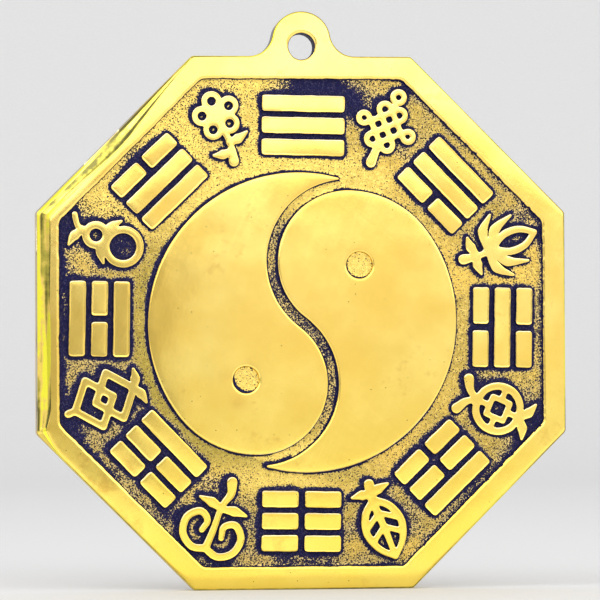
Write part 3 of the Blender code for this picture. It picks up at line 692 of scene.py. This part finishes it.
class Relief:
    """One raised shape: its solid's outlines as cast, with walls down into the field."""

    def __init__(self, node, spacing, round_reach, sway, draft, seed):
        self.node, self.seed, self.draft = node, seed, draft
        self.loops = [
            hand_cast(loop, spacing, round_reach, sway, seed) for loop in outlines(node, False)
        ]

    def cast(self, finish, slot_name, spread, tilt=0.0):
        shape = Casting(("patina", "worn", "stain"))
        feet, brims = [], []
        centre = self.loops[0].mean(0)
        draw = np.random.default_rng(self.seed)
        lean = draw.uniform(-tilt, tilt, 2)

        def depths(points, gap):
            drop = (points - centre) @ lean
            return polished_depths(points, gap) - np.abs(lean).sum() * LEAN_REACH + drop

        for number, loop in enumerate(self.loops):
            facing = inward(loop)
            brim = loop + facing * (self.draft + EDGE_ROUND)
            # Painted glint: a pale rim on edges facing up, and on the halves along the lower right of
            # their outer edge low down; patina is thinner under it
            worn = np.clip(-facing @ UPWARDS * 1.6 - 0.5, 0, 1)
            kept = 1 - 0.55 * worn
            if self.node.endswith("_half"):
                worn = np.clip(-facing @ LOWER_RIGHT * 1.5 - 0.4, 0, 1) * (number == 0)
                worn = worn * smooth_step(0.012, 0.030, MIDDLE[1] - loop[:, 1]) * 0.6
                kept = 1.0
                if number:
                    kept = 0.30 + 0.70 * np.clip(facing @ LOWER_LEFT + 0.35, 0, 1)
            profile = [
                (-FOOT_SPREAD * self.draft, FIELD - FOOT_SINK, {"patina": 1.0}),
                (0.0, FIELD + LOWER_FOOT, {"patina": 1.0}),
                (self.draft * 0.8, FIELD + UPPER_FOOT, {"patina": 0.95 * kept}),
            ]
            # The last column, wear, is the share of the painted glint
            for part, drop, dark, wear in EDGE_STEPS:
                marks = {"patina": dark * kept, "worn": wear * worn}
                profile.append((self.draft + EDGE_ROUND * part, FACE - drop, marks))
            marks = {"patina": TOP_PATINA * kept, "worn": TOP_GLINT * worn}
            profile.append((self.draft + EDGE_ROUND, depths(brim, EDGE_ROUND), marks))
            foot, top = shape.add_rings(loop, profile, facing)
            feet.append(foot)
            brims.append(top)
        shape.add_cap(feet, facing_front=False)
        inner, gap = scattered([shape.at(ring) for ring in brims], spread, self.seed)
        stain = np.zeros(len(inner))
        if self.node == "yin_yang_left_half":
            eye = self.loops[1].mean(0)
            for off, reach in EYE_STAINS:
                stain += 0.5 * np.exp(-((lengths(inner - eye - off) / reach) ** 2))
        shape.add_cap(brims, inner, depths(inner, gap + EDGE_ROUND), stain=stain)
        return shape.build(self.node + "_relief", [finish], [self.node])


relief_of = {}
for number, node in enumerate(sorted(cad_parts)):
    if node.endswith("_half"):
        relief_of[node] = Relief(node, *HALF_CAST, number)
    elif node.endswith("_ornament"):
        relief_of[node] = Relief(node, *ORNAMENT_CAST, number)
    elif node != "cast_plate":
        relief_of[node] = Relief(node, *BAR_CAST, number)

halves_finish = polished_brass("hand polished yin-yang brass", tarnish=0.55)
bars_finish = polished_brass("polished bar brass", tarnish=0.45)
ornaments_finish = polished_brass("polished ornament brass", tarnish=0.35)
for node, relief in relief_of.items():
    if node.endswith("_half"):
        relief.cast(halves_finish, "mirror_polished_brass", spread=0.0010)
    elif node.endswith("_ornament"):
        relief.cast(ornaments_finish, "polished_ornament_brass", spread=0.0008, tilt=0.006)
    else:
        relief.cast(bars_finish, "polished_bar_brass", spread=0.0008, tilt=0.009)


# Cast plate: rim, lug, edge and back

OUTLINE_SPACING, OUTLINE_ROUND = 0.0007, 0.0003
BRIM_SPACING, BRIM_ROUND = 0.0004, 0.0006
BEVEL_LEAST, BEVEL_MORE = 0.0004, 0.0036
BEVEL_SLOPE = 0.50
FACE_STEPS = (0.0003, 0.0005)
LUG_NEAR, LUG_FAR = 0.013, 0.018
STREAK_LENGTH = 0.026

# Bearings from the middle, in degrees, between which the broad bevel and the brim's sides fade
BEVEL_STARTS, BEVEL_ENDS = (109, 138), (198, 209)
LEFT_STARTS, LEFT_ENDS = (152, 164), (208, 222)
RIGHT_ENDS, RIGHT_STARTS = (60, 74), (276, 300)

# Rings up the side, as how far in and how far from the back, and shares of the bevel's width
SIDE_RINGS = ((0.0003, 0.0), (0.0, 0.0003), (0.0, 0.0015), (0.0, 0.0030), (0.0, 0.0042))
BEVEL_PARTS = (0.0, 0.18, 0.36, 0.54, 0.72, 0.88, 1.0)
SIDE_INSET = 0.00003
SIDE_STREAK_STEP, BEVEL_STREAK_STEP = 0.0011, 3.2
HOLE_ROUND = 0.0004
BACK_WAVE_DEPTH, BACK_WAVE_LENGTH = 0.00003, 0.02


def mitres(loop):
    """Vectors that move a loop's straight edges inwards by one unit, corners included."""
    arriving = loop - np.roll(loop, 1, 0)
    leaving = np.roll(loop, -1, 0) - loop
    arriving /= lengths(arriving)[:, None]
    leaving /= lengths(leaving)[:, None]
    turned = np.column_stack((-(arriving + leaving)[:, 1], (arriving + leaving)[:, 0]))
    return turned * 2 / (turned**2).sum(1)[:, None]


def edge_streaks(loop, level, seed, slant=0.3):
    """Long streaks along an edge, a little aslant, from 0 to 1."""
    along = np.concatenate(([0], np.cumsum(lengths(np.diff(loop, axis=0)))))
    along = along / STREAK_LENGTH + level * slant
    return np.array([0.5 + 0.9 * noise.noise((s, level, seed)) for s in along])


def bearings(points):
    """Directions from the plaque's middle, in degrees anticlockwise from its right."""
    out = points - MIDDLE
    return np.degrees(np.arctan2(out[:, 1], out[:, 0])) % 360


def bevel_widths(loop):
    """How wide the edge is ground: broad down the upper left and left sides, narrow elsewhere."""
    bearing = bearings(loop)
    broad = smooth_step(*BEVEL_STARTS, bearing) * (1 - smooth_step(*BEVEL_ENDS, bearing))
    return BEVEL_LEAST + BEVEL_MORE * broad * (1 + 0.12 * swell(loop, 0.02, 5.0))


def brim_sides(brim):
    """How far each point of the brim is on the plaque's left and on its right side, from 0 to 1."""
    bearing = bearings(brim)
    on_left = smooth_step(*LEFT_STARTS, bearing) * (1 - smooth_step(*LEFT_ENDS, bearing))
    return on_left, (1 - smooth_step(*RIGHT_ENDS, bearing)) + smooth_step(*RIGHT_STARTS, bearing)


def cast_plate():
    outer, brim, hole = outlines("cast_plate", True)
    shape = Casting(("patina", "worn", "streak", "wall", "ridge"))
    outer = outer - mitres(outer) * PLATE_EDGE_ROUND
    outer = softened(evenly(curved(outer), OUTLINE_SPACING), OUTLINE_ROUND, OUTLINE_SPACING)
    in_lug = (outer[:, 1] > MIDDLE[1] + APOTHEM - BEVEL_MORE) * (
        1 - smooth_step(LUG_NEAR, LUG_FAR, np.abs(outer[:, 0]))
    )
    steps = inward(outer) * in_lug[:, None] + (MIDDLE - outer) / APOTHEM * (1 - in_lug[:, None])
    sooty = in_lug * (outer[:, 0] < -0.004) * (1 - smooth_step(0.0050, 0.0065, outer[:, 1]))
    width = bevel_widths(outer)
    drop = BEVEL_SLOPE * (width - BEVEL_LEAST) + BEVEL_LEAST
    # Where the broad bevel's ridge carries a painted highlight
    ridge = smooth_step(0.35, 0.90, (width - BEVEL_LEAST) / BEVEL_MORE)
    profile = []
    for level, (inset, depth) in enumerate(SIDE_RINGS):
        sway = SIDE_INSET * (1 + swell(outer, 0.012, level))
        streak = edge_streaks(outer, depth / SIDE_STREAK_STEP, 2.0)
        at_ridge = ridge * (depth == SIDE_RINGS[-1][1])
        marks = {"streak": streak, "wall": 1.0, "patina": sooty, "ridge": at_ridge}
        profile.append((inset + sway, depth, marks))
    for part in BEVEL_PARTS:
        hump = 0.10 + 0.09 * (edge_streaks(outer, 9 + part * 3, 4.0) - 0.5)
        inset = width * part + SIDE_INSET
        depth = FACE - drop * (1 - part) ** 1.15 + drop * (math.sin(math.pi * part) * hump) - 0.00012
        streak = edge_streaks(outer, 20 + part * BEVEL_STREAK_STEP, 6.0)
        marks = {"streak": streak, "wall": float(part == 0), "ridge": ridge * (part == 0)}
        profile.append((inset, np.minimum(depth, FACE), marks))
    back, bevel_top = shape.add_rings(outer, profile, steps, slot=1)
    for step in FACE_STEPS:
        face_edge = outer + steps * np.reshape(width + step, (-1, 1))
        # Painted glint round the face edge of the lug
        face_ring = shape.add_points(
            face_edge, polished_depths(face_edge, step), worn=in_lug * 0.42 - step * 300
        )
        shape.add_wall(bevel_top, face_ring)
        bevel_top = face_ring

    hole = hole - inward(hole) * HOLE_ROUND
    hole = hand_cast(hole, spacing=0.0004, round_reach=0.0003, sway=0.00012, seed=8.0)
    hole_back, hole_front = shape.add_rings(
        hole,
        (
            (HOLE_ROUND, 0.0, {"patina": 0.4}),
            (0.0, 0.0004, {"patina": 0.9}),
            (0.0, FACE - 0.0006, {"patina": 0.9}),
            (0.00006, FACE - 0.00034, {"patina": 0.6}),
            (0.00020, FACE - 0.00020, {"patina": 0.15}),
            (0.00045, polished_depths(hole, 0.0004), {"patina": 0.0}),
            (0.00100, polished_depths(hole, 0.0010), {}),
        ),
    )
    brim = softened(evenly(curved(brim), BRIM_SPACING), BRIM_ROUND, BRIM_SPACING)
    rag = 0.00016 * swell(brim, 0.0050, 1.0) + 0.00012 * swell(brim, 0.0011, 2.0)
    spill = 0.40 * brim_sides(brim)[1] * np.maximum(swell(brim, 0.0014, 9.0) * 1.5 + 0.15, 0)
    floor, brim_front = shape.add_rings(
        brim,
        (
            (rag - 0.0003, FIELD - 0.00045, {"patina": 1.0}),
            (rag - 0.0002, FIELD, {"patina": 1.0}),
            (rag - 0.0001, FIELD + 0.0006, {"patina": 1.0}),
            (rag, FACE - 0.00042, {"patina": 0.60 + spill}),
            (rag + 0.00010, FACE - 0.00022, {"patina": 0.34 + spill}),
            (rag + 0.00025, FACE - 0.00016, {"patina": 0.18 + spill}),
            (rag + 0.00050, polished_depths(brim, 0.0005), {"patina": 0.10 + spill * 0.5}),
            (rag * 0.4 + 0.00080, polished_depths(brim, 0.0008), {"patina": 0.05}),
        ),
    )
    brim = brim + inward(brim) * rag[:, None]
    rings = [face_ring, hole_front, brim_front]
    inner, gap = scattered([shape.at(ring) for ring in rings], spacing=0.0011, seed=11)
    shape.add_cap(rings, inner, polished_depths(inner, gap + FACE_STEPS[-1]))
    shape.add_cap([floor], slot=0)
    backs = [back, hole_back]
    loops = [shape.at(ring) for ring in backs]
    inner, _ = scattered(loops, spacing=0.0030, seed=12, following=())
    uneven = BACK_WAVE_DEPTH * (1 + swell(inner, BACK_WAVE_LENGTH))
    shape.add_cap(backs, inner, uneven, facing_front=False, slot=2)
    finishes = [
        polished_brass("polished rim brass", tarnish=0.5),
        ground_brass("ground edge brass"),
        cast_brass("cast back brass"),
    ]
    shape.build("plaque_body", finishes, ["cast_plate"])
    return brim


brim = cast_plate()


# Field: the pebbled ground between the rim and the relief

PEBBLE_SIZE, CLOUD_LENGTH, PATCH_LENGTH = 0.0011, 0.009, 0.0042
FIELD_SPACING = 0.00035
COVERED_SPACING = 0.0022
EYE_RAISE = 0.00085
FAR = 0.003
FIELD_EDGE = 0.0003
FIGURE_RADIUS = 0.0405
TAIL_START = 0.038
RING_START, RING_END = 0.0445, 0.0500

# Darker places in the ring, and paler ones where the amount is below 0: place, size and amount
FIELD_STAINS = (
    ((0.0045, -0.0114), 0.0095, 0.75),
    ((0.0150, -0.0190), 0.0050, 0.30),
    ((0.0145, -0.0154), 0.0040, 0.36),
    ((0.0303, -0.0287), 0.0050, 0.30),
    ((0.0620, -0.1124), 0.0060, 0.22),
    ((-0.0500, -0.0287), 0.0060, 0.14),
    ((0.0000, -0.1427), 0.0120, 0.20),
    ((-0.0145, -0.0123), 0.0050, -0.12),
    ((0.0620, -0.0642), 0.0045, -0.16),
    ((0.0292, -0.1425), 0.0055, -0.26),
)

# A bright place below the figure: painted light
LOW_GLOW = np.array((-0.0105, -0.1228))
LOW_GLOW_REACH = np.array((0.0190, 0.0052))


def patina_reaches():
    """The feet of the rim and the relief, with how far solid patina reaches out from each point and
    how far it fades beyond that."""
    on_left, on_right = brim_sides(brim)
    teeth = swell(brim, 0.0009, 4.0) + 0.5 * swell(brim, 0.0030, 5.0)
    reach = (0.0012 * on_left + 0.0002 * on_right) * (1 + 0.9 * teeth)
    feet = [(brim, np.maximum(reach, 0), 0.0003 + 0.0004 * on_left + 0.0016 * on_right)]
    for node, relief in relief_of.items():
        for number, loop in enumerate(relief.loops):
            outward = -inward(loop)
            reach = 0.00045 + 0.00025 * (outward @ UPPER_LEFT) + 0.00030 * swell(loop, 0.009, 6.0)
            fade = 0.00070 + 0.00110 * np.maximum(swell(loop, 0.013, 9.0) + 0.25, 0)
            if node.endswith("_half") and number == 0:
                reach = 0.00026 + 0.00048 * np.maximum(outward @ UPPER_LEFT, 0)
                out = lengths(loop - MIDDLE)
                reach -= (0.00034 + 0.00026 * smooth_step(0.022, 0.034, out)) * (out < TAIL_START)
                fade = 0.00010 + 0.00040 * np.maximum(swell(loop, 0.020, 8.0) + 0.3, 0)
            elif node.endswith("_half"):
                reach = 0.00045 * np.maximum(-outward @ LOWER_LEFT, 0)
                fade = np.full(len(loop), 0.0001)
            elif number:
                reach = np.full(len(loop), 0.00075)
                fade = np.full(len(loop), 0.00055)
            feet.append((loop, np.maximum(reach, 0), fade))
    return feet


def next_to_feet(points, feet):
    """For each point: its distances to the nearest and the second nearest foot, and the patina's
    reach and fade at the nearest one."""
    gap, second = np.full((2, len(points)), FAR)
    reach, fade = np.full((2, len(points)), 0.0001)
    for loop, reaches, fades in feet:
        near = ((points > loop.min(0) - FAR) & (points < loop.max(0) + FAR)).all(1)
        near = np.flatnonzero(near)
        distance, which = nearest(points[near], loop)
        closer = distance < gap[near]
        second[near] = np.where(closer, gap[near], np.minimum(second[near], distance))
        near, distance, which = near[closer], distance[closer], which[closer]
        gap[near] = distance
        reach[near] = np.broadcast_to(reaches, len(loop))[which]
        fade[near] = np.broadcast_to(fades, len(loop))[which]
    return gap, second, reach, fade


def pebbled_field():
    """Ground that is dark near what stands on it and gold elsewhere, paler in the polished eyes, with
    painted light on its top side and below the figure and painted shade on its left, a closed slab.
    """
    feet = patina_reaches()
    edge = brim + inward(brim) * FIELD_EDGE
    halves = [relief.loops for node, relief in relief_of.items() if node.endswith("_half")]
    outlines_of_halves = np.vstack([loop for loops in halves for loop in loops])

    def covered(points, depth_in):
        under = inside(points, halves[0]) | inside(points, halves[1])
        return under & (nearest(points, outlines_of_halves)[0] > depth_in)

    points, _ = scattered([edge], FIELD_SPACING, seed=21, following=())
    sparse, _ = scattered([edge], COVERED_SPACING, seed=22, following=())
    points = np.vstack((points[~covered(points, 0.0008)], sparse[covered(sparse, 0.0014)]))
    gap, second, reach, fade = next_to_feet(points, feet)

    out = points - MIDDLE
    radius = lengths(out)
    sides = np.radians(np.arange(8) * 45)
    octagonal = np.max(out @ np.vstack((np.cos(sides), np.sin(sides))), 1)
    in_ring = smooth_step(RING_START, RING_END, octagonal)
    in_channel = (radius < FIGURE_RADIUS) * (1 - smooth_step(0.024, 0.037, radius))
    eye_gap = np.full(len(points), 1.0)
    for _, eye in halves:
        eye_gap = np.minimum(eye_gap, lengths(points - eye.mean(0)) - lengths(eye - eye.mean(0)).mean())
    in_eye = eye_gap < 0.0003
    in_channel = in_channel * ~in_eye
    clouds = swell(points, CLOUD_LENGTH, 2.0)
    patches = swell(points, PATCH_LENGTH, 3.0)
    heading = out / np.maximum(radius, 0.001)[:, None]
    shaded_side = heading @ LOWER_RIGHT
    sideways = smooth_step(0.25, 0.80, np.abs(heading[:, 0]))
    corner = smooth_step(1.030, 1.070, radius / np.maximum(octagonal, 0.001)) * sideways
    # Painted shade: the field's patina grows towards the left and lower left, and so does the reach of
    # its dark outlines
    left_shade_amount = heading @ LEFT_SHADE_SIDE
    ground = 0.18 + (0.22 + 0.12 * left_shade_amount + 0.34 * corner) * in_ring + 0.42 * in_channel
    ground += (0.26 * clouds + 0.16 * patches) * (1 - 0.5 * in_channel)
    stains = np.zeros(len(points))
    for spot, size, amount in FIELD_STAINS:
        stains += amount * np.exp(-((lengths(points - spot) / size) ** 2))
    # Painted light brightens the ring's top and upper left sides and a place below the figure; inside
    # the figure the channel gets paler towards its ends
    channel_end = smooth_step(0.027, 0.037, radius)
    inner = smooth_step(0.55, 0.95, heading @ BRIGHT_INNER_SIDE + 0.10 * patches)
    outer = smooth_step(0.70, 0.97, heading @ BRIGHT_OUTER_SIDE + 0.10 * patches)
    bright = inner + (outer * (1 - np.clip(2 * stains, 0, 1)) - inner) * in_ring
    low_glow = np.exp(-((lengths((points - LOW_GLOW) / LOW_GLOW_REACH)) ** 2))
    bright = np.maximum(bright, 0.95 * low_glow)
    bright = np.where(radius < FIGURE_RADIUS, channel_end, bright) * ~in_eye
    ground += stains * in_ring - 0.12 * np.maximum(bright, in_eye)
    reach = reach * (1 + 0.6 * clouds + 0.4 * patches) * (1 - 0.1 * bright)
    reach = reach * (1 + 0.28 * left_shade_amount)
    fade = fade * (1 - 0.3 * bright)
    by_foot = 1 - smooth_step(reach * 0.5, reach * 1.5 + fade, gap)
    wiped = np.clip(-4 * stains, 0, 1)
    by_foot = by_foot * (1 - 0.5 * smooth_step(0.0011, 0.0018, fade)) * (1 - 0.35 * wiped)
    across = gap + second
    strip = 0.40 * (1 - smooth_step(0.0026, 0.0040, across)) * smooth_step(-0.6, 0.6, shaded_side)
    narrow = np.maximum(1 - smooth_step(0.0018, 0.0027, across), strip) * in_ring * (1 - wiped)
    patina = 1 - (1 - np.clip(ground, 0, 1)) * (1 - by_foot) * (1 - 0.9 * narrow)
    pebble = swell(points, PEBBLE_SIZE, 1.0) + 0.6 * swell(points, PEBBLE_SIZE / 2.2, 2.0)
    rough = 0.35 + 0.65 * np.maximum(in_ring, in_channel)
    depth = FIELD + 0.00005 * rough * pebble + 0.00004 * clouds
    depth += 0.00016 * np.exp(-gap / 0.00025) + EYE_RAISE * in_eye
    # Painted shade on the left of the inner field, less where painted light falls
    painted_left_shade = smooth_step(0.15, 0.9, left_shade_amount + 0.35 * clouds) * (1 - in_ring) * ~in_eye
    painted_left_shade = 0.8 * painted_left_shade * (1 - bright)
    rubbed_and_painted_light = np.where(in_eye, 0.60, 0.64 * bright)

    shape = Casting(FIELD_MARKS)
    bottom, top = shape.add_rings(
        edge,
        ((0.0, FIELD - 0.0004, {"patina": 1.0}), (0.0, FIELD, {"patina": 1.0})),
    )
    shape.add_cap([bottom], facing_front=False)
    marks = dict(zip(FIELD_MARKS, (patina, pebble, painted_left_shade, rubbed_and_painted_light)))
    shape.add_cap([top], points, depth, **marks)
    shape.build("pebbled_field", [pebbled_brass("pebbled field brass")])


pebbled_field()


# Stage, lamps and camera

FLOOR_GAP = 0.00005
FLOOR = cad_low.z - FLOOR_GAP
STAGE_WIDTH, STAGE_FRONT, STAGE_BACK, STAGE_TOP = 4.0, -1.2, 2.6, 2.5
STAGE_CURVE = 0.8
STAGE_PALE = 0.74
FLAG_GREY = 0.60
PANEL_RAISE = 0.002
SWEEP_STEPS = 17
SENSOR_WIDTH = 36
NEAREST_SEEN, FARTHEST_SEEN = 0.05, 20
WORLD_TONE, WORLD_STRENGTH = 0.90, 1.08


def cyclorama():
    """A pale floor that curves up into the backdrop."""
    turn = np.linspace(0, math.pi / 2, SWEEP_STEPS)
    sweep = [(STAGE_FRONT, FLOOR)]
    sweep += [
        (
            STAGE_BACK - STAGE_CURVE + STAGE_CURVE * math.sin(t),
            FLOOR + STAGE_CURVE * (1 - math.cos(t)),
        )
        for t in turn
    ]
    sweep.append((STAGE_BACK, STAGE_TOP))
    points = [(x, y, z) for y, z in sweep for x in (-STAGE_WIDTH, STAGE_WIDTH)]
    faces = [(i, i + 1, i + 3, i + 2) for i in range(0, len(points) - 2, 2)]
    mesh = bpy.data.meshes.new("studio_paper")
    mesh.from_pydata(points, [], faces)
    mesh.materials.append(studio_paper("studio paper", STAGE_PALE))
    mesh.shade_smooth()
    paper = bpy.data.objects.new("studio_paper", mesh)
    bpy.context.scene.collection.objects.link(paper)


AIM = (cad_low + cad_high) / 2


def towards(azimuth, elevation, distance):
    """A place seen from the plaque at this bearing, right and up in degrees."""
    a, e = math.radians(azimuth), math.radians(elevation)
    way = Vector((math.sin(a) * math.cos(e), -math.cos(a) * math.cos(e), math.sin(e)))
    return AIM + way * distance


def softbox(name, azimuth, elevation, distance, width, height, brightness):
    """A lamp panel that faces the plaque and looks this bright in it."""
    light = bpy.data.lights.new(name, "AREA")
    light.shape = "RECTANGLE"
    light.size, light.size_y = width, height
    light.energy = brightness * math.pi * width * height
    lamp = bpy.data.objects.new(name, light)
    lamp.location = towards(azimuth, elevation, distance)
    lamp.rotation_euler = (AIM - lamp.location).to_track_quat("-Z", "Y").to_euler()
    bpy.context.scene.collection.objects.link(lamp)
    return lamp


def floor_panel(name, width, near, far, brightness):
    """A lit panel on the floor before the plaque that shines upwards, so that the plaque's lower
    part mirrors it."""
    lamp = softbox(name, 0, 0, 1, width, far - near, brightness)
    lamp.location = (0, -(near + far) / 2, FLOOR + PANEL_RAISE)
    lamp.rotation_euler = (math.pi, 0, 0)
    lamp.visible_camera = False


def camera(azimuth, elevation, distance, lens, roll, shift):
    data = bpy.data.cameras.new("camera")
    data.lens, data.sensor_width, data.shift_x = lens, SENSOR_WIDTH, shift
    data.clip_start, data.clip_end = NEAREST_SEEN, FARTHEST_SEEN
    shot = bpy.data.objects.new("camera", data)
    shot.location = towards(azimuth, elevation, distance)
    look = (AIM - shot.location).to_track_quat("-Z", "Y")
    shot.rotation_euler = (look @ Quaternion((0, 0, 1), math.radians(roll))).to_euler()
    bpy.context.scene.collection.objects.link(shot)
    bpy.context.scene.camera = shot


def flag(name, left, right, low, high, y):
    """A grey card in front that darkens what the plaque mirrors there."""
    points = [(left, y, low), (right, y, low), (right, y, high), (left, y, high)]
    mesh = bpy.data.meshes.new(name)
    mesh.from_pydata(points, [], [(3, 2, 1, 0)])
    mesh.materials.append(studio_paper("grey card", FLAG_GREY))
    card = bpy.data.objects.new(name, mesh)
    bpy.context.scene.collection.objects.link(card)


cyclorama()
flag("left_flag", left=-1.6, right=0.125, low=FLOOR, high=0.035, y=-1.65)
floor_panel("floor panel", width=1.4, near=0.06, far=1.2, brightness=0.36)

# Each softbox: azimuth and elevation in degrees, distance, width, height and brightness
softbox("high softbox", 8, 20.7, 3.0, 3.5, 1.76, 1.40)
softbox("right front softbox", 16, 6, 3.0, 1.1, 0.63, 0.11)
softbox("right softbox", 42, 28, 1.7, 0.6, 0.6, 1.4)
softbox("left softbox", -75, 28, 1.6, 0.5, 0.8, 1.8)
softbox("upper left lamp", -48, 42, 1.6, 0.6, 0.6, 2.4)
camera(azimuth=-7.5, elevation=-1.5, distance=1.2, lens=255.3, roll=-0.29, shift=-0.0024)

world = bpy.data.worlds.new("studio")
world.use_nodes = True
background = world.node_tree.nodes["Background"]
background.inputs["Color"].default_value = (WORLD_TONE, WORLD_TONE, WORLD_TONE, 1)
background.inputs["Strength"].default_value = WORLD_STRENGTH
bpy.context.scene.world = world
bpy.context.scene.view_settings.view_transform = "Standard"
